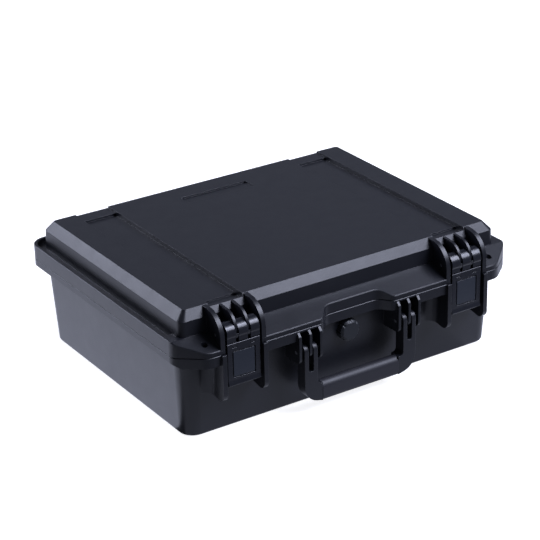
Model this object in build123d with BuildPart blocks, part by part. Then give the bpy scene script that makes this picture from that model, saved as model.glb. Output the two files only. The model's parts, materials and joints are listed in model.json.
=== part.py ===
# Hard waterproof carrying case: a moulded base and lid on two rear hinges, closed by two
# double-throw latches, with a folding handle and a pressure-release valve on the front.
# Units are millimetres. X runs along the length, the front faces -Y and +Z is up.
# The origin is the centre of the flat bottom of the base.

from build123d import *
import math
import os

os.makedirs("parts", exist_ok=True)

# ---- Driving dimensions -------------------------------------------------------------------

# Base tub
foot_half_x = 200.0
foot_half_y = 148.8
foot_corner = 17.0
tub_top_half_x = 205.6
tub_top_half_y = 154.4
tub_corner = 19.0
wall = 3.5
floor_thickness = 4.0
foot_round = 3.0

# Meeting rims of base and lid
base_rim_z = 101.8
lid_rim_z = 102.2
rim_half_x = 217.0
rim_back_y = 165.0
rim_front_y = -176.5
rim_recess_y = -162.0
rim_lower_z = 86.5
rim_front_lower_z = 90.3
lid_rim_top_z = 119.0
lid_lip_top_z = 107.5
rim_edge_break = 0.5
lip_edge_break = 0.7

# Lid
lid_wall_half_x = 206.0
lid_wall_half_y = 151.0
lid_shoulder_z = 135.8
lid_shoulder_half_x = 203.9
lid_shoulder_half_y = 149.3
lid_top_z = 145.9
lid_top_half_x = 194.9
lid_top_half_y = 142.2
ceiling_z = 141.9
channel_ceiling_z = 137.0
channel_floor_z = 140.8
channel_pocket_z = 139.0
channel_pocket_back_y = -128.0
channel_lip_z = 142.7
channel_back_y = 125.0
channel_half_width = 21.2
lid_wall_corner = 9.0
lid_shoulder_corner = 7.0
lid_top_corner = 3.5

# Latches
latch_centre_x = 145.0
latch_half_width = 19.7
bay_half_width = 22.4
bay_back_y = -163.0
latch_pivot_y = -166.0
latch_pivot_z = 121.0
latch_barrel_r = 10.8
lever_pivot_y = -173.6
lever_pivot_z = 107.5
lever_hub_r = 2.8
lever_front_y = -176.5
lever_back_y = -171.8
lever_foot_z = 63.0
lever_top_z = 111.2
skirt_foot_z = 112.2
skirt_front_y = -176.2
guard_thickness = 5.2
guard_front_y = -179.6
lid_guard_front_y = -176.4
guard_foot_z = 45.5
guard_foot_round = 9.0
guard_flare = 11.0
comb_offset = 7.25
comb_thickness = 3.0
comb_front_y = -174.5
comb_play = 0.4
pad_width = 25.5
pad_height = 28.0
pad_centre_z = 87.0
pad_groove = 1.5
pad_groove_depth = 1.1
ear_inner = 8.5
ear_outer = 13.5
ear_gap = 0.4
hook_width = 30.0
hook_top_z = 89.8
latch_pin_r = 2.0
lever_pin_r = 1.5

# Handle
handle_centre_x = 64.5
handle_pivot_y = -173.5
handle_pivot_z = 76.0
handle_front_y = -180.5
handle_back_y = -166.5
handle_arm_half = 8.2
fork_slot_half = 3.25
fork_slot_foot_z = 52.0
handle_pin_r = 2.0
bracket_pitch = 13.2
bracket_rib = 3.0
bracket_top_z = 99.5
grip_half_length = 50.0
grip_foot_z = 11.5
grip_top_z = 35.0

# Valve
valve_z = 73.5
valve_face_y = -162.0
valve_knob_r = 12.2
valve_notch_r = 1.2
valve_knob_chamfer = 2.2
valve_head_r = 10.8
valve_stem_r = 7.0
valve_post_r = 4.0
valve_seat_r = 13.0
valve_seat_y = -152.2
valve_nut_front_y = -148.4

# Seal, pressed by a tongue on the base into a groove in the lid
tongue_half_x = 211.0
tongue_half_y = 158.0
tongue_corner = 22.0
tongue_thickness = 2.4
tongue_height = 1.8
groove_play = 1.2
groove_depth = 5.0
seal_play = 0.1

# Hinges
hinge_y = 171.0
hinge_z = 102.0
hinge_r = 5.6
hinge_pin_r = 2.0
hinge_centre_x = 118.0
hinge_knuckle = 14.0
hinge_gap = 0.4

# Padlock holes
padlock_x = 185.0
padlock_y = -164.5
padlock_r = 3.5

# Fits: radial play of a pin in its own part and in the part that turns on it
fixed_play = 0.03
running_play = 0.08

# Foam
foam_play = 0.5
base_pad_top_z = 14.0
pluck_foam_top_z = 98.0
pocket_floor_z = 32.0
lid_foam_foot_z = 104.0
lid_foam_top_z = 134.0

sides = {"left": -1, "right": 1}


# ---- Shared outlines ----------------------------------------------------------------------

def rounded_face(height, half_x, half_y, radius):
    """A rounded rectangle about the Z axis, at the given height."""
    with BuildSketch(Plane.XY.offset(height)) as face:
        RectangleRounded(2 * half_x, 2 * half_y, radius)
    return face.sketch


def rim_face(height):
    """The plan outline that both rims share, recessed at the handle and flared at the latches."""
    with BuildSketch(Plane.XY.offset(height)) as face:
        with BuildLine():
            FilletPolyline(
                (0, rim_recess_y),
                (34, rim_recess_y),
                (46, rim_front_y),
                (188, rim_front_y),
                (rim_half_x, -153),
                (rim_half_x, rim_back_y),
                (0, rim_back_y),
                radius=[13, 9, 20, 12, 20],
            )
            mirror(about=Plane.YZ)
        make_face()
    return face.sketch


def tub_half_sizes(height):
    """Half length, half width and corner radius of the outside of the tub at a height."""
    share = height / base_rim_z
    return (
        foot_half_x + share * (tub_top_half_x - foot_half_x),
        foot_half_y + share * (tub_top_half_y - foot_half_y),
        foot_corner + share * (tub_corner - foot_corner),
    )


def seal_band(height, growth):
    """The band of the tongue at a height, grown on both sides."""
    inset = tongue_thickness + growth
    with BuildSketch(Plane.XY.offset(height)) as face:
        RectangleRounded(2 * (tongue_half_x + growth), 2 * (tongue_half_y + growth), tongue_corner + growth)
        RectangleRounded(2 * (tongue_half_x - inset), 2 * (tongue_half_y - inset), tongue_corner - inset,
                         mode=Mode.SUBTRACT)
    return face.sketch


def side_profile(centre_x, thickness, points, radii):
    """A rib: an outline in the YZ plane, thickened along X about centre_x."""
    with BuildPart() as rib:
        with BuildSketch(Plane.YZ.offset(centre_x - thickness / 2)):
            with BuildLine():
                edge = FilletPolyline(*points, radius=radii)
                Line(edge @ 1, edge @ 0)
            make_face()
        extrude(amount=thickness)
    return rib.part


def pin_along_x(centre_x, length, y, z, radius):
    """A round bar parallel to X."""
    with BuildPart() as pin:
        with BuildSketch(Plane.YZ.offset(centre_x - length / 2)):
            with Locations((y, z)):
                Circle(radius)
        extrude(amount=length)
    return pin.part


def block(low, high):
    """A box from its lowest to its highest corner."""
    with BuildPart() as piece:
        with Locations(tuple((a + b) / 2 for a, b in zip(low, high))):
            Box(*[b - a for a, b in zip(low, high)])
    return piece.part


def save(builder, name):
    builder.part.label = name
    export_step(builder.part, f"parts/{name}.step")


# ---- Base shell ---------------------------------------------------------------------------

def guard_outline(centre_x, outward, height):
    """Plan of a guard rib at a height: straight on the latch side, curving into the tub wall outside."""
    inner_x = centre_x - outward * guard_thickness / 2
    outer_x = centre_x + outward * guard_thickness / 2
    wall_y = -tub_half_sizes(height)[1]
    bend = guard_flare * (1 - math.sqrt(0.5))
    with BuildSketch(Plane.XY.offset(height)) as face:
        with BuildLine():
            Line((inner_x, wall_y + 2), (inner_x, guard_front_y))
            Line((inner_x, guard_front_y), (outer_x, guard_front_y))
            Line((outer_x, guard_front_y), (outer_x, wall_y - guard_flare))
            ThreePointArc((outer_x, wall_y - guard_flare), (outer_x + outward * bend, wall_y - bend),
                          (outer_x + outward * guard_flare, wall_y))
            Line((outer_x + outward * guard_flare, wall_y), (outer_x + outward * guard_flare, wall_y + 2))
            Line((outer_x + outward * guard_flare, wall_y + 2), (inner_x, wall_y + 2))
        make_face()
    return face.sketch


def guard_rib(centre_x, outward):
    """A protective rib beside a latch, with a rounded foot that rises into the wall."""
    with BuildPart() as rib:
        loft([guard_outline(centre_x, outward, guard_foot_z), guard_outline(centre_x, outward, base_rim_z)],
             ruled=True)
        with BuildSketch(Plane.YZ.offset(centre_x - 30)):
            with BuildLine():
                edge = FilletPolyline(
                    (-140, guard_foot_z + 6),
                    (-152, guard_foot_z + 5),
                    (guard_front_y, guard_foot_z),
                    (guard_front_y, base_rim_z),
                    (-140, base_rim_z),
                    radius=[4, guard_foot_round, 0.5],
                )
                Line(edge @ 1, edge @ 0)
            make_face()
        extrude(amount=60, mode=Mode.INTERSECT)
    return rib.part


with BuildPart() as base_shell:
    # Tub with a slight outward draft
    loft([rounded_face(0, foot_half_x, foot_half_y, foot_corner),
          rounded_face(base_rim_z, tub_top_half_x, tub_top_half_y, tub_corner)], ruled=True)
    fillet(base_shell.edges().group_by(Axis.Z)[0], radius=foot_round)

    # Rim, with a sloping underside at the sides and back and a flat one at the front
    extrude(rim_face(rim_lower_z), amount=base_rim_z - rim_lower_z)
    for side in sides.values():
        with BuildSketch(Plane.XZ.offset(-200)):
            Polygon((side * 220, 95.5), (side * 220, 80), (side * 205.6, 80), (side * 205.6, 87.5),
                    (side * 217, 94.5), align=None)
        extrude(amount=400, mode=Mode.SUBTRACT)
    with BuildSketch(Plane.YZ.offset(-220)):
        Polygon((170, 80), (170, 94.5), (rim_back_y, 94.5), (154.2, 87.5), (154.2, 80), align=None)
    extrude(amount=440, mode=Mode.SUBTRACT)
    with BuildSketch(Plane.YZ.offset(-220)):
        Polygon((-185, 80), (-185, rim_front_lower_z), (-162, rim_front_lower_z), (-153.8, 87.5),
                (-153.8, 80), align=None)
    extrude(amount=440, mode=Mode.SUBTRACT)
    chamfer(base_shell.edges().group_by(Axis.Z)[-1], length=rim_edge_break)

    # Latch bays: the rim is cut back so that the hooks can reach under it
    for side in sides.values():
        add(block((side * latch_centre_x - bay_half_width, -185, 80),
                  (side * latch_centre_x + bay_half_width, bay_back_y, 110)), mode=Mode.SUBTRACT)
        add(block((side * latch_centre_x - bay_half_width, bay_back_y - 1, 80),
                  (side * latch_centre_x + bay_half_width, -154.5, rim_front_lower_z)), mode=Mode.SUBTRACT)

    # Guard ribs beside the latches
    for side in sides.values():
        for edge_side in (-1, 1):
            rib_x = side * latch_centre_x + edge_side * (bay_half_width + guard_thickness / 2)
            add(guard_rib(rib_x, edge_side))

    # Handle brackets: three ribs each, with the rim opened between them
    for side in sides.values():
        add(block((side * handle_centre_x - bracket_pitch, -190, 80),
                  (side * handle_centre_x + bracket_pitch, -160, bracket_top_z)), mode=Mode.SUBTRACT)
        for place, foot_z in ((-1, 63.5), (0, 68.0), (1, 63.5)):
            add(side_profile(side * handle_centre_x + place * bracket_pitch, bracket_rib,
                             [(-150, 100), (rim_front_y, 100), (handle_front_y, 95.5),
                              (handle_front_y, foot_z), (-150, foot_z)],
                             [0.5, 3.0, 6.0]))

    # Tongue that presses into the seal
    extrude(seal_band(base_rim_z, 0), amount=tongue_height)

    # Hollow
    cavity_low = tub_half_sizes(floor_thickness)
    cavity_high = tub_half_sizes(base_rim_z)
    loft([rounded_face(floor_thickness, cavity_low[0] - wall, cavity_low[1] - wall, cavity_low[2] - wall),
          rounded_face(base_rim_z + 3, cavity_high[0] - wall, cavity_high[1] - wall, cavity_high[2] - wall)],
         ruled=True, mode=Mode.SUBTRACT)

    # Rear hinge knuckles: two on the base at each hinge, with a web to the rim
    for side in sides.values():
        for place in (-1, 1):
            knuckle_x = side * hinge_centre_x + place * (hinge_knuckle + hinge_gap)
            add(pin_along_x(knuckle_x, hinge_knuckle, hinge_y, hinge_z, hinge_r))
            with BuildSketch(Plane.YZ.offset(knuckle_x - hinge_knuckle / 2)):
                Polygon((163, 89), (163, base_rim_z), (hinge_y, base_rim_z), (hinge_y + hinge_r, base_rim_z),
                        (hinge_y + hinge_r - 0.2, 99), align=None)
            extrude(amount=hinge_knuckle)

    # Holes for the pins, the valve and the padlocks
    for side in sides.values():
        add(pin_along_x(side * hinge_centre_x, 3 * hinge_knuckle + 4, hinge_y, hinge_z,
                        hinge_pin_r + fixed_play), mode=Mode.SUBTRACT)
        add(pin_along_x(side * handle_centre_x, 2 * bracket_pitch + bracket_rib + 2, handle_pivot_y,
                        handle_pivot_z, handle_pin_r + fixed_play), mode=Mode.SUBTRACT)
        with BuildSketch(Plane.XY.offset(80)):
            with Locations((side * padlock_x, padlock_y)):
                Circle(padlock_r)
        extrude(amount=30, mode=Mode.SUBTRACT)
    with BuildSketch(Plane.XZ.offset(140)):
        with Locations((0, valve_z)):
            Circle(valve_stem_r + fixed_play)
    extrude(amount=20, mode=Mode.SUBTRACT)
    with BuildSketch(Plane.XZ.offset(-valve_seat_y)):
        with Locations((0, valve_z)):
            Circle(valve_seat_r)
    extrude(amount=5, mode=Mode.SUBTRACT)
save(base_shell, "base_shell")


# ---- Lid shell ----------------------------------------------------------------------------

with BuildPart() as lid_shell:
    # Rim: tall at the sides and back, sloping down to a low lip along the front
    extrude(rim_face(lid_rim_z), amount=lid_rim_top_z - lid_rim_z)
    chamfer(lid_shell.edges().group_by(Axis.Z)[0], length=rim_edge_break)
    chamfer(lid_shell.edges().group_by(Axis.Z)[-1], length=rim_edge_break)
    with BuildSketch(Plane.YZ.offset(-230)):
        Polygon((-150, lid_rim_top_z + 0.6), (-178, lid_lip_top_z - 0.7), (-178, 130), (-150, 130),
                align=None)
    extrude(amount=460, mode=Mode.SUBTRACT)
    sloping = lid_shell.faces().filter_by(lambda face: 0.85 < face.normal_at().Z < 0.95)
    chamfer(sloping.sort_by(SortBy.AREA)[-1].edges().group_by(Axis.Z)[0], length=lip_edge_break)

    # Trough between the tall rim and the lid wall, at the sides and the back
    with BuildSketch(Plane.XY.offset(lid_rim_top_z - 5)):
        RectangleRounded(2 * 213.6, 2 * 161.6, 18)
        with Locations((0, -200)):
            Rectangle(500, 132, mode=Mode.SUBTRACT)
    extrude(amount=10, mode=Mode.SUBTRACT)

    # Wall and bevelled top
    shoulder = rounded_face(lid_shoulder_z, lid_shoulder_half_x, lid_shoulder_half_y, lid_shoulder_corner)
    loft([rounded_face(lid_rim_z, lid_wall_half_x, lid_wall_half_y, lid_wall_corner), shoulder], ruled=True)
    loft([shoulder, rounded_face(lid_top_z, lid_top_half_x, lid_top_half_y, lid_top_corner)], ruled=True)

    # Long stacking channels in the top, one in line with each latch
    for side in sides.values():
        x = side * latch_centre_x
        add(block((x - channel_half_width, -138, channel_floor_z),
                  (x + channel_half_width, channel_back_y, 150)), mode=Mode.SUBTRACT)
        add(block((x - channel_half_width, channel_back_y - 1, lid_top_z - 2.5),
                  (x + channel_half_width, 160, 150)), mode=Mode.SUBTRACT)
        add(block((x - channel_half_width, -143, channel_pocket_z),
                  (x + channel_half_width, channel_pocket_back_y, 150)), mode=Mode.SUBTRACT)
        add(block((x - channel_half_width, -160, channel_lip_z),
                  (x + channel_half_width, -137, 150)), mode=Mode.SUBTRACT)

    # Shallow fading recess at the back of the top
    with BuildSketch(Plane.YZ.offset(-44)):
        Polygon((94, lid_top_z), (114.5, lid_top_z - 2.2), (114.5, lid_top_z + 2), (94, lid_top_z + 2),
                align=None)
    extrude(amount=88, mode=Mode.SUBTRACT)

    # The rim is opened in front of the latches
    for side in sides.values():
        x = side * latch_centre_x
        add(block((x - bay_half_width, -185, 90), (x + bay_half_width, -161.5, 150)), mode=Mode.SUBTRACT)
        add(block((x - bay_half_width, -185, 108.5), (x + bay_half_width, -151.5, 118)), mode=Mode.SUBTRACT)

    # Hollow, with a lower ceiling under the channels
    loft([rounded_face(lid_rim_z - 1, lid_wall_half_x - wall, lid_wall_half_y - wall, lid_wall_corner - 3),
          rounded_face(channel_ceiling_z, lid_shoulder_half_x - wall - 1, lid_shoulder_half_y - wall - 1, 4)],
         ruled=True, mode=Mode.SUBTRACT)
    add(block((-119, -137, channel_ceiling_z - 1), (119, 137, ceiling_z)), mode=Mode.SUBTRACT)
    for side in sides.values():
        x_range = sorted((side * 171, side * 190))
        add(block((x_range[0], -137, channel_ceiling_z - 1), (x_range[1], 137, ceiling_z)),
            mode=Mode.SUBTRACT)

    # Guards and comb ribs that carry the latch pins
    for side in sides.values():
        for edge_side in (-1, 1):
            rib_x = side * latch_centre_x + edge_side * (bay_half_width + guard_thickness / 2)
            add(side_profile(rib_x, guard_thickness,
                             [(-141, 139.5), (-141, lid_top_z - 0.3), (lid_guard_front_y, 143.5),
                              (lid_guard_front_y, lid_rim_z), (-149.5, lid_rim_z), (-147.5, 135)],
                             [0.5, 27, 1.0, 0.5]))
            comb_x = side * latch_centre_x + edge_side * comb_offset
            add(side_profile(comb_x, comb_thickness,
                             [(-142, 139.5), (-142, channel_lip_z), (comb_front_y, 140.5),
                              (comb_front_y, latch_pivot_z), (-166, 112.5), (-149.5, 112.5), (-147.5, 135)],
                             [0.5, 18, 0.4, 0.4, 0.5]))
            # its foot fills the slot in the latch barrel
            with BuildSketch(Plane.YZ.offset(comb_x - comb_thickness / 2)):
                with Locations((latch_pivot_y, latch_pivot_z)):
                    Circle(latch_barrel_r - 0.2)
                with Locations((latch_pivot_y, latch_pivot_z + latch_barrel_r)):
                    Rectangle(3 * latch_barrel_r, 2 * latch_barrel_r, mode=Mode.SUBTRACT)
            extrude(amount=comb_thickness)
        add(pin_along_x(side * latch_centre_x, 60, latch_pivot_y, latch_pivot_z, latch_pin_r + fixed_play),
            mode=Mode.SUBTRACT)

    # Groove for the seal, cut from below
    extrude(seal_band(lid_rim_z - 1, groove_play), amount=groove_depth + 1, mode=Mode.SUBTRACT)

    # Rear hinge knuckle in the middle of each hinge
    for side in sides.values():
        knuckle_x = side * hinge_centre_x
        add(pin_along_x(knuckle_x, hinge_knuckle, hinge_y, hinge_z, hinge_r))
        with BuildSketch(Plane.YZ.offset(knuckle_x - hinge_knuckle / 2)):
            Polygon((163, lid_rim_z), (163, 115), (hinge_y + hinge_r - 0.2, 105),
                    (hinge_y + hinge_r, lid_rim_z), align=None)
        extrude(amount=hinge_knuckle)
        # room for the base knuckles
        for place in (-1, 1):
            room_x = knuckle_x + place * (hinge_knuckle + hinge_gap)
            add(pin_along_x(room_x, hinge_knuckle + 2 * hinge_gap, hinge_y, hinge_z, hinge_r + 0.4),
                mode=Mode.SUBTRACT)
        add(pin_along_x(knuckle_x, hinge_knuckle + 1, hinge_y, hinge_z, hinge_pin_r + running_play),
            mode=Mode.SUBTRACT)

    # Padlock holes
    for side in sides.values():
        with BuildSketch(Plane.XY.offset(95)):
            with Locations((side * padlock_x, padlock_y)):
                Circle(padlock_r)
        extrude(amount=30, mode=Mode.SUBTRACT)
save(lid_shell, "lid_shell")

seal_foot_z = base_rim_z + tongue_height + seal_play
seal_top_z = lid_rim_z + groove_depth - 0.02

with BuildPart() as lid_seal:
    extrude(seal_band(seal_foot_z, groove_play - seal_play), amount=seal_top_z - seal_foot_z)
save(lid_seal, "lid_seal")


# ---- Hinge, handle and latch pins ---------------------------------------------------------

for side_name, side in sides.items():
    with BuildPart() as hinge_pin:
        add(pin_along_x(side * hinge_centre_x, 3 * hinge_knuckle + 2 * hinge_gap, hinge_y, hinge_z,
                        hinge_pin_r))
    save(hinge_pin, f"hinge_pin_{side_name}")

    with BuildPart() as handle_pin:
        add(pin_along_x(side * handle_centre_x, 2 * bracket_pitch + bracket_rib, handle_pivot_y,
                        handle_pivot_z, handle_pin_r))
    save(handle_pin, f"handle_pin_{side_name}")

    with BuildPart() as latch_pin:
        add(pin_along_x(side * latch_centre_x, 2 * (bay_half_width + guard_thickness), latch_pivot_y,
                        latch_pivot_z, latch_pin_r))
    save(latch_pin, f"latch_pin_{side_name}")


# ---- Latches ------------------------------------------------------------------------------

for side_name, side in sides.items():
    x = side * latch_centre_x

    # Hook link: three barrel knuckles on the lid pin, and two ears for the lever pin
    with BuildPart() as latch_link:
        add(pin_along_x(x, 2 * latch_half_width, latch_pivot_y, latch_pivot_z, latch_barrel_r))
        add(block((x - latch_half_width, -168.6, 99), (x + latch_half_width, -164.4, 114)))
        # skirt that covers the top of the lever
        add(block((x - latch_half_width, skirt_front_y, skirt_foot_z),
                  (x + latch_half_width, latch_pivot_y, latch_pivot_z)))
        for edge_side in (-1, 1):
            ear_x = x + edge_side * (ear_inner + ear_outer) / 2
            add(pin_along_x(ear_x, ear_outer - ear_inner, lever_pivot_y, lever_pivot_z, lever_hub_r))
            ear_low_x = ear_x - (ear_outer - ear_inner) / 2
            add(block((ear_low_x, lever_pivot_y, lever_pivot_z - lever_hub_r),
                      (ear_low_x + ear_outer - ear_inner, -166, lever_pivot_z + lever_hub_r)))
            # slots for the comb ribs of the lid
            slot_x = x + edge_side * comb_offset
            add(pin_along_x(slot_x, comb_thickness + 2 * comb_play, latch_pivot_y, latch_pivot_z,
                            latch_barrel_r + 2.8), mode=Mode.SUBTRACT)
        add(pin_along_x(x, 60, latch_pivot_y, latch_pivot_z, latch_pin_r + running_play), mode=Mode.SUBTRACT)
        add(pin_along_x(x, 60, lever_pivot_y, lever_pivot_z, lever_pin_r + fixed_play), mode=Mode.SUBTRACT)
    save(latch_link, f"latch_link_{side_name}")

    with BuildPart() as lever_pin:
        add(pin_along_x(x, 2 * latch_half_width - 1, lever_pivot_y, lever_pivot_z, lever_pin_r))
    save(lever_pin, f"lever_pin_{side_name}")

    # Lever: front plate with a framed square pad, a pull lip at its foot and a hook behind
    with BuildPart() as latch_lever:
        with BuildSketch(Plane.YZ.offset(x - latch_half_width)):
            with BuildLine():
                edge = FilletPolyline(
                    (lever_back_y, lever_top_z - 0.5),
                    (lever_front_y, lever_top_z),
                    (lever_front_y, 68),
                    (lever_front_y - 1.6, lever_foot_z),
                    (-170, lever_foot_z - 0.5),
                    (-171, 72),
                    (lever_back_y, 100),
                    (lever_back_y, lever_pivot_z),
                    radius=[0.8, 6, 1.2, 1.5, 10, 10],
                )
                Line(edge @ 1, edge @ 0)
            make_face()
        extrude(amount=2 * latch_half_width)
        add(pin_along_x(x, 2 * latch_half_width, lever_pivot_y, lever_pivot_z, lever_hub_r))
        # hook under the rim of the base
        add(side_profile(x, hook_width,
                         [(-174, 78), (-160, 81), (-157.5, 84), (-157.5, hook_top_z), (-163, hook_top_z),
                          (-165, 86.5), (-174, 90)],
                         [2, 1, 0.8, 0.8, 1.5]))
        # room for the ears and the plate of the link
        for edge_side in (-1, 1):
            ear_x = x + edge_side * (ear_inner + ear_outer) / 2
            add(pin_along_x(ear_x, ear_outer - ear_inner + 2 * ear_gap, lever_pivot_y, lever_pivot_z,
                            lever_hub_r + 0.4), mode=Mode.SUBTRACT)
            ear_low_x = ear_x - (ear_outer - ear_inner) / 2 - ear_gap
            add(block((ear_low_x, lever_pivot_y - 0.8, lever_pivot_z - lever_hub_r - 9),
                      (ear_low_x + ear_outer - ear_inner + 2 * ear_gap, -160, lever_pivot_z + 6)),
                mode=Mode.SUBTRACT)
        # frame groove round the square pad
        with BuildSketch(Plane.XZ.offset(-lever_front_y - pad_groove_depth)):
            with Locations((x, pad_centre_z)):
                RectangleRounded(pad_width + 2 * pad_groove, pad_height + 2 * pad_groove, 1.6)
                RectangleRounded(pad_width, pad_height, 0.8, mode=Mode.SUBTRACT)
        extrude(amount=5, mode=Mode.SUBTRACT)
        add(pin_along_x(x, 60, lever_pivot_y, lever_pivot_z, lever_pin_r + running_play), mode=Mode.SUBTRACT)
    save(latch_lever, f"latch_lever_{side_name}")


# ---- Handle -------------------------------------------------------------------------------

with BuildPart() as handle_frame:
    arm_outer = handle_centre_x + handle_arm_half
    arm_inner = handle_centre_x - handle_arm_half
    with BuildSketch(Plane.XZ.offset(-handle_back_y)):
        with BuildLine():
            FilletPolyline(
                (arm_inner, 90),
                (arm_inner, grip_top_z),
                (0, grip_top_z),
                radius=[5],
            )
            FilletPolyline(
                (0, 12.3),
                (43.5, 12.3),
                (arm_outer, 19),
                (arm_outer, 90),
                radius=[30, 20],
            )
            Line((arm_inner, 90), (arm_outer, 90))
            mirror(about=Plane.YZ)
        make_face()
    extrude(amount=handle_back_y - handle_front_y)
    # Side outline: round ends about the pivot
    with BuildSketch(Plane.YZ.offset(-100)):
        with BuildLine():
            edge = FilletPolyline(
                (handle_back_y, 5),
                (handle_back_y, handle_pivot_z + 7),
                (handle_front_y, handle_pivot_z + 7),
                (handle_front_y, 5),
                radius=[6.98, 6.98],
            )
            Line(edge @ 1, edge @ 0)
        make_face()
    extrude(amount=200, mode=Mode.INTERSECT)
    # Fork slots for the middle rib of each bracket
    for side in sides.values():
        with BuildSketch(Plane.XZ.offset(150)):
            with Locations((side * handle_centre_x, (fork_slot_foot_z + 95) / 2)):
                RectangleRounded(2 * fork_slot_half, 95 - fork_slot_foot_z, 2.5)
        extrude(amount=50, mode=Mode.SUBTRACT)
        add(pin_along_x(side * handle_centre_x, 30, handle_pivot_y, handle_pivot_z,
                        handle_pin_r + running_play), mode=Mode.SUBTRACT)
    # Slim core inside the grip
    with BuildSketch(Plane.YZ.offset(-grip_half_length)):
        with Locations(((handle_back_y + handle_front_y) / 2, 23)):
            Rectangle(60, 60)
            RectangleRounded(9, 17, 3.5, mode=Mode.SUBTRACT)
    extrude(amount=2 * grip_half_length, mode=Mode.SUBTRACT)
save(handle_frame, "handle_frame")

with BuildPart() as handle_grip:
    with BuildSketch(Plane.YZ.offset(-grip_half_length)):
        with Locations(((handle_back_y + handle_front_y) / 2, (grip_foot_z + grip_top_z) / 2)):
            RectangleRounded(14.6, grip_top_z - grip_foot_z, 7.2)
        with Locations(((handle_back_y + handle_front_y) / 2, 23)):
            RectangleRounded(9, 17, 3.5, mode=Mode.SUBTRACT)
    extrude(amount=2 * grip_half_length)
save(handle_grip, "handle_grip")


# ---- Pressure valve -----------------------------------------------------------------------

valve_seal_front_y = valve_seat_y - 1.5

with BuildPart() as valve_body:
    with BuildSketch(Plane.XZ.offset(-valve_seal_front_y)):
        with Locations((0, valve_z)):
            Circle(valve_head_r)
    extrude(amount=2.2)
    with BuildSketch(Plane.XZ.offset(-valve_seal_front_y - 14)):
        with Locations((0, valve_z)):
            Circle(valve_stem_r)
            Circle(1.5, mode=Mode.SUBTRACT)
    extrude(amount=14)
    with BuildSketch(Plane.XZ.offset(-valve_seal_front_y + 2.2)):
        with Locations((0, valve_z)):
            Circle(valve_post_r)
    extrude(amount=3.4)
save(valve_body, "valve_body")

with BuildPart() as valve_seal:
    with BuildSketch(Plane.XZ.offset(-valve_seat_y)):
        with Locations((0, valve_z)):
            Circle(valve_stem_r + 3)
            Circle(valve_stem_r + 0.1, mode=Mode.SUBTRACT)
    extrude(amount=1.5)
save(valve_seal, "valve_seal")

with BuildPart() as valve_nut:
    with BuildSketch(Plane.XZ.offset(-valve_nut_front_y - 4)):
        with Locations((0, valve_z)):
            RegularPolygon(11, 6)
            Circle(valve_stem_r + fixed_play, mode=Mode.SUBTRACT)
    extrude(amount=4)
save(valve_nut, "valve_nut")

with BuildPart() as valve_knob:
    with BuildSketch(Plane.XZ.offset(-valve_seal_front_y - 0.4)):
        with Locations((0, valve_z)):
            Circle(valve_knob_r)
            with PolarLocations(valve_knob_r + 0.5, 8):
                Circle(valve_notch_r, mode=Mode.SUBTRACT)
    extrude(amount=valve_seal_front_y + 0.4 - valve_face_y)
    chamfer(valve_knob.faces().sort_by(Axis.Y)[0].edges(), length=valve_knob_chamfer)
    with BuildSketch(Plane.XZ.offset(-valve_seal_front_y - 1)):
        with Locations((0, valve_z)):
            Circle(valve_head_r + 0.2)
    extrude(amount=3.6, mode=Mode.SUBTRACT)
    with BuildSketch(Plane.XZ.offset(-valve_seal_front_y)):
        with Locations((0, valve_z)):
            Circle(valve_post_r + 0.06)
    extrude(amount=5.9, mode=Mode.SUBTRACT)
save(valve_knob, "valve_knob")


# ---- Foam ---------------------------------------------------------------------------------

def tub_foam_face(height):
    """The inside of the tub at a height, less a little play."""
    half_x, half_y, corner = tub_half_sizes(floor_thickness)
    inset = wall + foam_play
    return rounded_face(height, half_x - inset, half_y - inset, corner - inset)


pockets = {
    "craft": ((-168, -112), (14, 112)),
    "remote": ((42, -112), (168, -14)),
    "battery_left": ((42, 14), (98, 112)),
    "battery_right": ((112, 14), (168, 112)),
}

with BuildPart() as base_pad:
    extrude(tub_foam_face(floor_thickness + 0.1), amount=base_pad_top_z - floor_thickness - 0.1)
save(base_pad, "base_pad")

with BuildPart() as pocket_foam:
    extrude(tub_foam_face(base_pad_top_z + 0.1), amount=pluck_foam_top_z - base_pad_top_z - 0.1)
    # relief behind the valve nut
    add(block((-16, -150, 58), (16, -134, 110)), mode=Mode.SUBTRACT)
    for low, high in pockets.values():
        add(block((*low, pocket_floor_z), (*high, 120)), mode=Mode.SUBTRACT)
save(pocket_foam, "pocket_foam")

with BuildPart() as lid_foam:
    foot_inset = wall + 1.2
    top_inset = wall + 1.6
    foot = rounded_face(lid_foam_foot_z, lid_wall_half_x - foot_inset, lid_wall_half_y - foot_inset, 5)
    top = rounded_face(lid_foam_top_z, lid_shoulder_half_x - top_inset, lid_shoulder_half_y - top_inset, 3.5)
    loft([foot, top], ruled=True)
save(lid_foam, "lid_foam")
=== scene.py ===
# Hard carrying case: plastics, steel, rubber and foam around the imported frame, with a studio
import json
import math

import bmesh
import bpy
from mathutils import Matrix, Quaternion, Vector, noise


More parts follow.
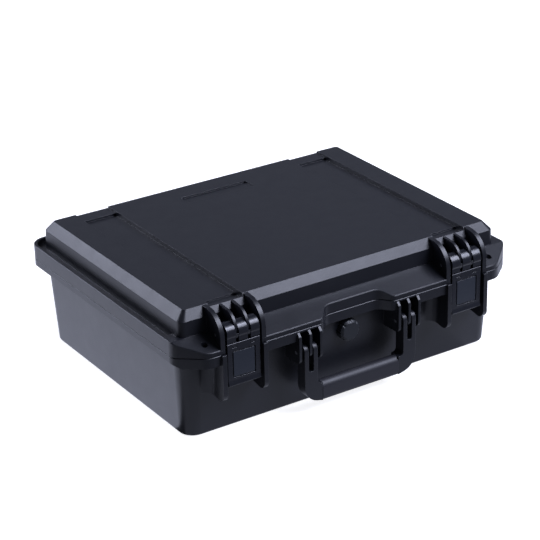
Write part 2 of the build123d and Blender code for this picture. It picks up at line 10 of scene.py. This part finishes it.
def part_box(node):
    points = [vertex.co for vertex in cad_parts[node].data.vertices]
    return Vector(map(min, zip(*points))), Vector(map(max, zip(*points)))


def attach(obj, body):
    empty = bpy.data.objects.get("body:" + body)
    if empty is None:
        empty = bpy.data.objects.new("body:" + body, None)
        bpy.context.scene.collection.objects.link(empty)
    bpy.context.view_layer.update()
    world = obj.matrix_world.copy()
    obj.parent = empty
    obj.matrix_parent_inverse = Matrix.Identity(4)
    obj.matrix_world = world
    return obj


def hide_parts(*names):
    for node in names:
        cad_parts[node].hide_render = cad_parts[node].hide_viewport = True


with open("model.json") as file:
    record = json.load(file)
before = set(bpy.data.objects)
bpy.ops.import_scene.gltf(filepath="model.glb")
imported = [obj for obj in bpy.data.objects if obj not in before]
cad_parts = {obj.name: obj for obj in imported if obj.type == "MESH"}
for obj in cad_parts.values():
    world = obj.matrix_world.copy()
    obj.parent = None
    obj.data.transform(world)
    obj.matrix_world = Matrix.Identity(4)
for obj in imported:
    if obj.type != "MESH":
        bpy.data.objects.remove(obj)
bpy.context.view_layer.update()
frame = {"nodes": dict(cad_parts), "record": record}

nodes = frame["nodes"]
mm = 0.001


# node trees: sockets that take part in Python expressions

class Wire:
    def __init__(self, maker, socket):
        self.maker = maker
        self.socket = socket

    def maths(self, operation, *values):
        return self.maker.node("ShaderNodeMath", {"operation": operation}, dict(enumerate(values)))

    def __add__(self, other):
        return self.maths("ADD", self, other)

    def __radd__(self, other):
        return self.maths("ADD", other, self)

    def __sub__(self, other):
        return self.maths("SUBTRACT", self, other)

    def __rsub__(self, other):
        return self.maths("SUBTRACT", other, self)

    def __mul__(self, other):
        return self.maths("MULTIPLY", self, other)

    def __rmul__(self, other):
        return self.maths("MULTIPLY", other, self)

    def __pow__(self, other):
        return self.maths("POWER", self, other)

    def __lt__(self, other):
        return self.maths("LESS_THAN", self, other)

    def size(self):
        return self.maths("ABSOLUTE", self)

    def clamped(self):
        return self.maker.node("ShaderNodeClamp", {}, {"Value": self})


class Maker:
    def __init__(self, tree):
        self.tree = tree

    def node(self, kind, settings=None, sockets=None, out=0):
        made = self.tree.nodes.new(kind)
        for name, value in (settings or {}).items():
            if name == "stops":
                setStops(made.color_ramp, value)
            else:
                setattr(made, name, value)
        for name, value in (sockets or {}).items():
            if isinstance(value, Wire):
                self.tree.links.new(value.socket, made.inputs[name])
            else:
                made.inputs[name].default_value = value
        return None if out is None else Wire(self, made.outputs[out])

    def split(self, vector):
        parts = self.node("ShaderNodeSeparateXYZ", {}, {0: vector}).socket.node
        return [Wire(self, socket) for socket in parts.outputs]


def setStops(ramp, stops):
    while len(ramp.elements) > 1:
        ramp.elements.remove(ramp.elements[-1])
    for index, (position, level) in enumerate(stops):
        stop = ramp.elements[0] if index == 0 else ramp.elements.new(position)
        stop.position = position
        stop.color = (level, level, level, 1)


def newMaterial(name):
    material = bpy.data.materials.new(name)
    material.use_nodes = True
    material.node_tree.nodes.clear()
    return material, Maker(material.node_tree)


def blend(maker, share, first, second):
    return maker.node("ShaderNodeMix", {"data_type": "RGBA"}, {"Factor": share, 6: first, 7: second}, out=2)


def finishMaterial(maker, sockets):
    surface = maker.node("ShaderNodeBsdfPrincipled", {}, sockets)
    maker.node("ShaderNodeOutputMaterial", {}, {"Surface": surface}, out=None)


# moulded plastics and rubber

shellLook = {
    "colour": (0.0095, 0.0105, 0.0150, 1),
    "paler": (0.0125, 0.0138, 0.0190, 1),
    "worn": (0.050, 0.053, 0.063, 1),
    "roughness": 0.37, "roughnessSpread": 0.10, "cloudGloss": 0.05, "specular": 0.5,
    "cloudScale": 14.0, "smudgeScale": 55.0,
    "grain": 0.00045, "grainDepth": 0.000035,
    "edge": 0.00045, "wear": 0.5, "wearReach": 10.0,
}
latchLook = shellLook | {
    "colour": (0.0150, 0.0163, 0.0220, 1),
    "paler": (0.0180, 0.0195, 0.0260, 1),
    # pad is a painted sheen, a lighter and bluer colour on each lever's pad
    "pad": (0.029, 0.035, 0.048, 1),
    "padCentre": (0.145, 0.087), "padHalf": (0.0128, 0.014), "padRoughness": 0.06,
    "roughness": 0.26, "grainDepth": 0.00001, "edge": 0.0005,
}
handleLook = shellLook | {"roughness": 0.42, "edge": 0.0011, "wear": 0.6}
valveLook = shellLook | {
    "colour": (0.016, 0.019, 0.023, 1),
    "paler": (0.019, 0.022, 0.027, 1),
    "roughness": 0.42, "edge": 0.0004,
}
gripLook = shellLook | {
    "colour": (0.021, 0.021, 0.028, 1),
    "paler": (0.025, 0.025, 0.032, 1),
    "roughness": 0.50, "grain": 0.0007, "edge": 0.0008, "wear": 0.2,
}
sealLook = shellLook | {
    "colour": (0.012, 0.012, 0.013, 1),
    "paler": (0.016, 0.016, 0.017, 1),
    "roughness": 0.62, "grain": 0.0003, "grainDepth": 0.00001, "edge": 0.0003, "wear": 0.0,
}


def plastic(name, look):
    material, maker = newMaterial(name)
    place = maker.node("ShaderNodeTexCoord", out="Object")
    # broad cloudy shift of tone, as where the melt flowed
    clouds = maker.node("ShaderNodeTexNoise", {},
                        {"Vector": place, "Scale": look["cloudScale"], "Detail": 3.0})
    smudges = maker.node("ShaderNodeTexNoise", {},
                         {"Vector": place, "Scale": look["smudgeScale"], "Detail": 5.0, "Roughness": 0.65})
    # fine spark-eroded grain in two sizes
    grain = maker.node("ShaderNodeTexNoise", {}, {"Vector": place, "Scale": 1 / look["grain"], "Detail": 2.0})
    pits = maker.node("ShaderNodeTexVoronoi", {}, {"Vector": place, "Scale": 0.6 / look["grain"]})
    # the rounded normal leaves the flat one only at an edge, which is where plastic wears
    rounded = maker.node("ShaderNodeBevel", {"samples": 4}, {"Radius": look["edge"]})
    flat = maker.node("ShaderNodeNewGeometry", out="Normal")
    facing = maker.node("ShaderNodeVectorMath", {"operation": "DOT_PRODUCT"},
                        {0: rounded, 1: flat}, out="Value")
    wear = ((1 - facing) * look["wearReach"] * look["wear"] * (smudges ** 2)).clamped()
    tone = blend(maker, clouds, look["colour"], look["paler"])
    colour = blend(maker, wear, tone, look["worn"])
    roughness = look["roughness"] + (smudges - 0.5) * look["roughnessSpread"] \
        + (clouds - 0.5) * look["cloudGloss"]
    if "pad" in look:  # painted sheen: a lighter, cooler square of colour on each lever's pad; the pad is also slightly duller
        across, _, up = maker.split(place)
        centreX, centreZ = look["padCentre"]
        halfWidth, halfHeight = look["padHalf"]
        onPad = ((across.size() - centreX).size() < halfWidth) * ((up - centreZ).size() < halfHeight)
        # painted sheen: the pad's square is coloured lighter and bluer than the lever around it
        colour = blend(maker, onPad, colour, look["pad"])
        roughness = roughness + onPad * look["padRoughness"]
    bump = maker.node("ShaderNodeBump", {},
                      {"Strength": 0.6, "Distance": look["grainDepth"],
                       "Height": grain + 0.5 * pits, "Normal": rounded})
    finishMaterial(maker, {"Base Color": colour, "Roughness": roughness.clamped(), "Normal": bump,
                           "IOR": 1.5, "Specular IOR Level": look["specular"]})
    return material


# turned steel pins

steelLook = {
    "colour": (0.50, 0.50, 0.52, 1),
    "darker": (0.36, 0.36, 0.37, 1),
    "roughness": 0.3, "roughnessSpread": 0.25, "stainScale": 180.0,
    "alongPin": 60.0, "acrossPin": 2600.0, "lineDepth": 0.00001, "edge": 0.0003,
}


def steel(name, look):
    material, maker = newMaterial(name)
    place = maker.node("ShaderNodeTexCoord", out="Object")
    stretch = (look["alongPin"], look["acrossPin"], look["acrossPin"])
    drawn = maker.node("ShaderNodeMapping", {}, {"Vector": place, "Scale": stretch})
    lines = maker.node("ShaderNodeTexNoise", {}, {"Vector": drawn, "Scale": 1.0, "Detail": 3.0})
    stains = maker.node("ShaderNodeTexNoise", {},
                        {"Vector": place, "Scale": look["stainScale"], "Detail": 3.0})
    colour = blend(maker, stains, look["colour"], look["darker"])
    rounded = maker.node("ShaderNodeBevel", {"samples": 4}, {"Radius": look["edge"]})
    bump = maker.node("ShaderNodeBump", {},
                      {"Strength": 0.5, "Distance": look["lineDepth"], "Height": lines, "Normal": rounded})
    roughness = look["roughness"] + (lines - 0.5) * look["roughnessSpread"]
    finishMaterial(maker, {"Base Color": colour, "Metallic": 1.0, "Normal": bump,
                           "Roughness": roughness.clamped()})
    return material


# open-cell foam

foamLook = {
    "colour": (0.020, 0.021, 0.023, 1),
    "paler": (0.046, 0.047, 0.051, 1),
    "roughness": 0.93, "cell": 0.0011, "depth": 0.0004, "strutWidth": 0.22,
    "fineScale": 2600.0, "patchScale": 40.0,
}


def foam(name, look):
    material, maker = newMaterial(name)
    place = maker.node("ShaderNodeTexCoord", out="Object")
    cells = maker.node("ShaderNodeTexVoronoi", {"feature": "DISTANCE_TO_EDGE"},
                       {"Vector": place, "Scale": 1 / look["cell"]})
    fine = maker.node("ShaderNodeTexNoise", {}, {"Vector": place, "Scale": look["fineScale"], "Detail": 3.0})
    patches = maker.node("ShaderNodeTexNoise", {},
                         {"Vector": place, "Scale": look["patchScale"], "Detail": 4.0})
    fade = [(0.0, 1.0), (look["strutWidth"], 0.0)]
    struts = maker.node("ShaderNodeValToRGB", {"stops": fade}, {"Fac": cells})
    # struts between the cells are paler, with broad patches and a fine speckle over them
    shade = (0.25 + struts * 0.55 + (patches - 0.5) * 0.4 + (fine - 0.5) * 0.3).clamped()
    colour = blend(maker, shade, look["colour"], look["paler"])
    roughness = look["roughness"] + (fine - 0.5) * 0.1
    bump = maker.node("ShaderNodeBump", {},
                      {"Strength": 0.9, "Distance": look["depth"], "Height": struts + fine * 0.4})
    finishMaterial(maker, {"Base Color": colour, "Roughness": roughness.clamped(), "Normal": bump,
                           "Specular IOR Level": 0.2, "Sheen Weight": 0.15, "Sheen Roughness": 0.6})
    return material


finishes = {
    "shell": plastic("shellPlastic", shellLook),
    "latch": plastic("latchPlastic", latchLook),
    "handle": plastic("handlePlastic", handleLook),
    "grip": plastic("gripRubber", gripLook),
    "valve": plastic("valvePlastic", valveLook),
    "seal": plastic("sealRubber", sealLook),
    "steel": steel("pinSteel", steelLook),
    "foam": foam("charcoalFoam", foamLook),
}
for part in frame["record"]["subparts"]:
    node = nodes[part["node"]]
    node.data.materials.clear()
    node.data.materials.append(finishes[part["material_slot"]])
print("finishes:", len(finishes))


# small mesh helpers

def roundedOutline(halfX, halfY, radius, perCorner=8):
    points = []
    for quarter, (sideX, sideY) in enumerate(((1, 1), (-1, 1), (-1, -1), (1, -1))):
        centreX, centreY = sideX * (halfX - radius), sideY * (halfY - radius)
        for step in range(perCorner + 1):
            angle = math.radians(90 * (quarter + step / perCorner))
            points.append((centreX + radius * math.cos(angle), centreY + radius * math.sin(angle)))
    return points


def meshPiece(name, bm, slot):
    mesh = bpy.data.meshes.new(name)
    bmesh.ops.recalc_face_normals(bm, faces=bm.faces)
    bm.to_mesh(mesh)
    bm.free()
    piece = bpy.data.objects.new(name, mesh)
    bpy.context.scene.collection.objects.link(piece)
    mesh.materials.append(finishes[slot])
    return piece


def ring(bm, outline, height):
    return [bm.verts.new((x, y, height)) for x, y in outline]


def bridge(bm, low, high):
    for index in range(len(low)):
        after = (index + 1) % len(low)
        bm.faces.new((low[index], low[after], high[after], high[index]))


def soften(piece, width, segments, angle):
    bevel = piece.modifiers.new("softEdges", "BEVEL")
    bevel.width = width
    bevel.segments = segments
    bevel.limit_method = "ANGLE"
    bevel.angle_limit = math.radians(angle)
    evaluated = piece.evaluated_get(bpy.context.evaluated_depsgraph_get())
    mesh = bpy.data.meshes.new_from_object(evaluated)
    piece.modifiers.clear()
    piece.data = mesh
    for polygon in mesh.polygons:
        polygon.use_smooth = True


# foam pads: a plain pad under a block of pull-out cubes, and an egg-crate pad in the lid

foamSizes = {
    "corner": 13.0 * mm, "softEdge": 1.2 * mm, "seed": 7,
    # pull-out cubes, which stand in a square-cornered well
    "cube": 14.0 * mm, "slit": 0.5 * mm, "cubesX": 26, "cubesY": 18, "cubeSoftness": 0.9 * mm,
    "unevenness": 0.35 * mm, "tilt": (0.004, 0.004, 0.008),
    "wellCorner": 0.8 * mm, "floorBelowOpening": 0.5 * mm, "cubeFoot": 0.6 * mm,
    # egg-crate face of the lid's pad
    "crest": 28.0 * mm, "crestDepth": 13.0 * mm, "plainBorder": 9.0 * mm, "stepsPerCrest": 12,
    "crumple": 0.4 * mm, "crumpleScale": 90, "backTaper": 0.992, "weld": 0.01 * mm,
}


def basePadPiece():
    low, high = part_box("base_pad")
    outline = roundedOutline(high.x, high.y, foamSizes["corner"])
    bm = bmesh.new()
    bottom, top = ring(bm, outline, low.z), ring(bm, outline, high.z)
    bridge(bm, bottom, top)
    bm.faces.new(bottom)
    bm.faces.new(top)
    piece = meshPiece("basePad", bm, "foam")
    soften(piece, foamSizes["softEdge"], segments=3, angle=40)
    return piece


openings = frame["record"]["physics"]["openings"]
pockets = [opening["box_m"] for opening in openings if "pocket" in opening["name"]]
pocketFloor = min(low[2] for low, high in pockets) - foamSizes["floorBelowOpening"]


def inPocket(x, y):
    return any(low[0] < x < high[0] and low[1] < y < high[1] for low, high in pockets)


def foamCube(size, height):
    bm = bmesh.new()
    bmesh.ops.create_cube(bm, size=1.0)
    bmesh.ops.scale(bm, vec=(size, size, height), verts=bm.verts)
    bmesh.ops.translate(bm, vec=(0, 0, height / 2), verts=bm.verts)
    bmesh.ops.bevel(bm, geom=bm.edges[:], offset=foamSizes["cubeSoftness"], segments=1, affect="EDGES")
    mesh = bpy.data.meshes.new("foamCube")
    bm.to_mesh(mesh)
    bm.free()
    return bpy.data.objects.new("foamCube", mesh)


def cubeTree():
    tree = bpy.data.node_groups.new("pullOutCubes", "GeometryNodeTree")
    inputs = {"Places": "Geometry", "Cube": "Object", "Finish": "Material",
              "Unevenness": "Float", "Seed": "Int"}
    for name, kind in inputs.items():
        tree.interface.new_socket(name, in_out="INPUT", socket_type="NodeSocket" + kind)
    tree.interface.new_socket("Cubes", in_out="OUTPUT", socket_type="NodeSocketGeometry")
    maker = Maker(tree)
    given = tree.nodes.new("NodeGroupInput")
    entry = {name: Wire(maker, given.outputs[name]) for name in inputs}
    tilt = foamSizes["tilt"]
    points = maker.node("GeometryNodeMeshToPoints", {}, {"Mesh": entry["Places"]})
    cube = maker.node("GeometryNodeObjectInfo", {}, {"Object": entry["Cube"]}, out="Geometry")
    turn = maker.node("FunctionNodeRandomValue", {"data_type": "FLOAT_VECTOR"},
                      {0: tuple(-angle for angle in tilt), 1: tilt, "Seed": entry["Seed"]}, out=0)
    rotation = maker.node("FunctionNodeEulerToRotation", {}, {"Euler": turn})
    placed = maker.node("GeometryNodeInstanceOnPoints", {},
                        {"Points": points, "Instance": cube, "Rotation": rotation})
    lift = maker.node("FunctionNodeRandomValue", {"data_type": "FLOAT"},
                      {2: entry["Unevenness"] * -1, 3: entry["Unevenness"], "Seed": entry["Seed"] + 1}, out=1)
    shift = maker.node("ShaderNodeCombineXYZ", {}, {"Z": lift})
    moved = maker.node("GeometryNodeTranslateInstances", {}, {"Instances": placed, "Translation": shift})
    real = maker.node("GeometryNodeRealizeInstances", {}, {"Geometry": moved})
    finished = maker.node("GeometryNodeSetMaterial", {}, {"Geometry": real, "Material": entry["Finish"]})
    maker.node("NodeGroupOutput", {}, {"Cubes": finished}, out=None)
    return tree


def pullOutCubes(top):
    pitch = foamSizes["cube"]
    foot = pocketFloor - foamSizes["cubeFoot"]
    places = bpy.data.meshes.new("cubePlaces")
    spots = []
    for column in range(foamSizes["cubesX"]):
        for row in range(foamSizes["cubesY"]):
            x = (column + 0.5 - foamSizes["cubesX"] / 2) * pitch
            y = (row + 0.5 - foamSizes["cubesY"] / 2) * pitch
            if not inPocket(x, y):
                spots.append((x, y, foot))
    places.from_pydata(spots, [], [])
    holder = bpy.data.objects.new("cubePlaces", places)
    bpy.context.scene.collection.objects.link(holder)
    cube = foamCube(pitch - foamSizes["slit"], top - foamSizes["unevenness"] - foot)
    tree = cubeTree()
    settings = {"Cube": cube, "Finish": finishes["foam"],
                "Unevenness": foamSizes["unevenness"], "Seed": foamSizes["seed"]}
    modifier = holder.modifiers.new("pullOutCubes", "NODES")
    modifier.node_group = tree
    for item in tree.interface.items_tree:
        if item.in_out == "INPUT" and item.name in settings:
            modifier[item.identifier] = settings[item.name]
    evaluated = holder.evaluated_get(bpy.context.evaluated_depsgraph_get())
    mesh = bpy.data.meshes.new_from_object(evaluated)
    bpy.data.objects.remove(holder)
    bpy.data.objects.remove(cube)
    print("foam cubes:", len(spots))
    return mesh


def pocketFoamPiece():
    low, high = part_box("pocket_foam")
    halfX = foamSizes["cubesX"] * foamSizes["cube"] / 2
    halfY = foamSizes["cubesY"] * foamSizes["cube"] / 2
    outline = roundedOutline(high.x, high.y, foamSizes["corner"])
    well = roundedOutline(halfX, halfY, foamSizes["wellCorner"])
    bm = bmesh.new()
    bottom, top = ring(bm, outline, low.z), ring(bm, outline, high.z)
    mouth, floor = ring(bm, well, high.z), ring(bm, well, pocketFloor)
    bridge(bm, bottom, top)
    bridge(bm, top, mouth)
    bridge(bm, mouth, floor)
    bm.faces.new(bottom)
    bm.faces.new(floor)
    piece = meshPiece("pocketFoam", bm, "foam")
    soften(piece, foamSizes["softEdge"], segments=3, angle=40)
    joined = bmesh.new()
    joined.from_mesh(piece.data)
    joined.from_mesh(pullOutCubes(high.z))
    joined.to_mesh(piece.data)
    joined.free()
    return piece


def lidFoamPiece():
    low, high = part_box("lid_foam")
    corner = foamSizes["corner"]
    steps = foamSizes["stepsPerCrest"]
    countX = round(2 * high.x / foamSizes["crest"]) * steps
    countY = round(2 * high.y / foamSizes["crest"]) * steps

    def onOutline(x, y):  # pulls a grid corner back on to the rounded outline
        overX, overY = abs(x) - (high.x - corner), abs(y) - (high.y - corner)
        reach = math.hypot(overX, overY)
        if overX <= 0 or overY <= 0 or reach <= corner:
            return x, y
        return (math.copysign(high.x - corner + overX / reach * corner, x),
                math.copysign(high.y - corner + overY / reach * corner, y))

    bm = bmesh.new()
    rows = []
    for row in range(countY + 1):
        verts = []
        for column in range(countX + 1):
            x = (2 * column / countX - 1) * high.x
            y = (2 * row / countY - 1) * high.y
            inside = min(high.x - abs(x), high.y - abs(y)) / foamSizes["plainBorder"]
            share = min(max(inside, 0), 1)
            share = share * share * (3 - 2 * share)
            wave = (math.cos(2 * math.pi * column / steps) * math.cos(2 * math.pi * row / steps) + 1) / 2
            crumple = noise.noise(Vector((x, y, foamSizes["seed"])) * foamSizes["crumpleScale"])
            hollow = share * (foamSizes["crestDepth"] * wave + foamSizes["crumple"] * crumple)
            x, y = onOutline(x, y)
            verts.append(bm.verts.new((x, y, low.z + max(hollow, 0))))
        rows.append(verts)
    for row in range(countY):
        for column in range(countX):
            bm.faces.new(rows[row][column:column + 2] + rows[row + 1][column:column + 2][::-1])
    edge = (rows[0][:-1] + [verts[-1] for verts in rows[:-1]]
            + rows[-1][:0:-1] + [verts[0] for verts in rows[:0:-1]])
    taper = foamSizes["backTaper"]
    top = [bm.verts.new((v.co.x * taper, v.co.y * taper, high.z)) for v in edge]
    bridge(bm, edge, top)
    bm.faces.new(top)
    bmesh.ops.remove_doubles(bm, verts=bm.verts, dist=foamSizes["weld"])
    piece = meshPiece("lidFoam", bm, "foam")
    soften(piece, foamSizes["softEdge"], segments=2, angle=60)
    return piece


softPieces = (
    (basePadPiece(), "base", "base_pad"),
    (pocketFoamPiece(), "base", "pocket_foam"),
    (lidFoamPiece(), "lid", "lid_foam"),
)
for piece, body, node in softPieces:
    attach(piece, body)
    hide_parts(node)
print("foam pieces:", len(softPieces))


# camera, floor and lights

cameraSetup = {"lens": 132.1, "azimuth": -32.79, "elevation": 24.74, "roll": -1.33, "distance": 2.25,
               "aim": (0.0050, 0.0036, 0.0825)}


def makeCamera(setup):
    turn, rise = math.radians(setup["azimuth"]), math.radians(setup["elevation"])
    back = Vector((math.sin(turn) * math.cos(rise), -math.cos(turn) * math.cos(rise), math.sin(rise)))
    data = bpy.data.cameras.new("camera")
    data.lens = setup["lens"]
    data.clip_end = 100
    camera = bpy.data.objects.new("camera", data)
    camera.rotation_mode = "QUATERNION"
    roll = Quaternion((0, 0, 1), math.radians(setup["roll"]))
    camera.rotation_quaternion = (-back).to_track_quat("-Z", "Y") @ roll
    camera.location = Vector(setup["aim"]) + back * setup["distance"]
    bpy.context.scene.collection.objects.link(camera)
    bpy.context.scene.camera = camera


def softbox(name, direction, distance, width, height, brightness):
    data = bpy.data.lights.new(name, "AREA")
    data.shape = "RECTANGLE"
    data.size, data.size_y = width, height
    data.energy = brightness * math.pi * width * height
    data.color = studio["coolWhite"]
    light = bpy.data.objects.new(name, data)
    toLight = Vector(direction).normalized()
    light.rotation_mode = "QUATERNION"
    light.rotation_quaternion = toLight.to_track_quat("Z", "Y")
    light.location = Vector(studio["lightsAim"]) + toLight * distance
    bpy.context.scene.collection.objects.link(light)
    return light


def plane(name, low, high, height):
    mesh = bpy.data.meshes.new(name)
    corners = [(low[0], low[1]), (high[0], low[1]), (high[0], high[1]), (low[0], high[1])]
    mesh.from_pydata([(x, y, height) for x, y in corners], [], [(0, 1, 2, 3)])
    made = bpy.data.objects.new(name, mesh)
    bpy.context.scene.collection.objects.link(made)
    return made


def glowing(name, colour, brightness):
    material, maker = newMaterial(name)
    glow = maker.node("ShaderNodeEmission", {}, {"Color": colour, "Strength": brightness})
    maker.node("ShaderNodeOutputMaterial", {}, {"Surface": glow}, out=None)
    return material


studio = {
    "floorSize": 30.0, "floorHeight": -0.0005, "floorColour": (0.86, 0.86, 0.87, 1), "floorGlow": 0.98,
    "world": (0.76, 0.82, 1.0, 1), "worldBrightness": 0.09,
    "coolWhite": (0.76, 0.80, 1.0), "lightsAim": (0, 0, 0.1), "cardHeight": -0.0002,
    # softboxes: direction from the point they aim at, distance, width, height, brightness
    "lights": {
        "keyLight": ((0.49, -0.555, 0.672), 2.2, 1.35, 1.05, 10.8),
        "glossLight": ((0.49, -0.33, 0.805), 2.2, 1.35, 0.40, 9.5),
        "backLight": ((-0.473, 0.764, 0.46), 2.2, 1.1, 0.9, 7.0),
        "topLight": ((0.49, 0.76, 0.42), 2.6, 2.0, 1.0, 0.33),
    },
    # bounce cards that lie on the floor round the case: lowest corner, highest corner, brightness
    "cards": {
        "leftNearCard": ((-0.30, -0.12), (-0.18, 1.0), 1.6),
        "leftFarCard": ((-1.6, -0.12), (-0.30, 1.4), 1.3),
        "rightNearCard": ((0.17, -0.25), (0.30, 1.0), 1.5),
        "rightFarCard": ((0.30, -0.25), (1.6, 1.4), 1.15),
        "frontNearCard": ((-0.45, -0.28), (0.9, -0.14), 0.62),
        "frontFarCard": ((-0.9, -1.8), (0.9, -0.28), 0.17),
    },
}


def makeStudio(setup):
    half = setup["floorSize"] / 2
    floor = plane("floor", (-half, -half), (half, half), setup["floorHeight"])
    material, maker = newMaterial("floorPaint")
    finishMaterial(maker, {"Base Color": setup["floorColour"], "Roughness": 0.9, "Specular IOR Level": 0.1,
                           "Emission Color": setup["floorColour"], "Emission Strength": setup["floorGlow"]})
    floor.data.materials.append(material)
    floor.visible_glossy = False
    floor.visible_diffuse = False
    for name, (low, high, brightness) in setup["cards"].items():  # seen only in the case's gloss
        card = plane(name, low, high, setup["cardHeight"])
        card.data.materials.append(glowing(name, (*setup["coolWhite"], 1), brightness))
        card.visible_camera = False
        card.visible_diffuse = False
        card.visible_shadow = False
    world = bpy.data.worlds.new("studioWorld")
    world.use_nodes = True
    background = world.node_tree.nodes["Background"]
    background.inputs["Color"].default_value = setup["world"]
    background.inputs["Strength"].default_value = setup["worldBrightness"]
    bpy.context.scene.world = world
    for name, (direction, distance, width, height, brightness) in setup["lights"].items():
        light = softbox(name, direction, distance, width, height, brightness)
        light.visible_diffuse = name != "glossLight"  # seen only as a highlight
    bpy.context.scene.view_settings.view_transform = "Standard"


makeCamera(cameraSetup)
makeStudio(studio)
print("camera, floor and lights are in place")
